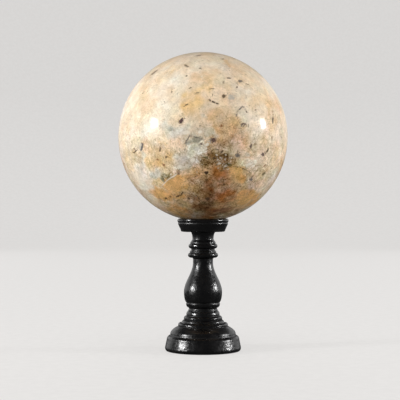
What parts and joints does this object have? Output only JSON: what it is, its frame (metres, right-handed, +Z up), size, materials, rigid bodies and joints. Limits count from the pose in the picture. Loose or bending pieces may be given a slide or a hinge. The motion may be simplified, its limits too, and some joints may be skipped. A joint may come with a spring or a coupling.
{
  "type": "decorative sphere",
  "caption": "Polished mottled stone ball resting in the shallow cup of a turned black lacquered wooden stand with a domed foot, rings, a vase-shaped stem and ringed collars.",
  "frame": {"origin": "centre of the stand's flat underside, on the surface the object stands on", "axes": "+Z up along the axis that the stand and the ball share; the side that is seen in the picture faces -Y"},
  "size_m": [0.1, 0.1, 0.1764],
  "materials": {
    "polished_stone": "polished, mottled cream, ochre and grey with small dark specks",
    "black_lacquer": "glossy black lacquer over turned wood"
  },
  "bodies": {
    "root": {"stone_ball": "polished_stone", "turned_stand": "black_lacquer"}
  },
  "joints": []
}
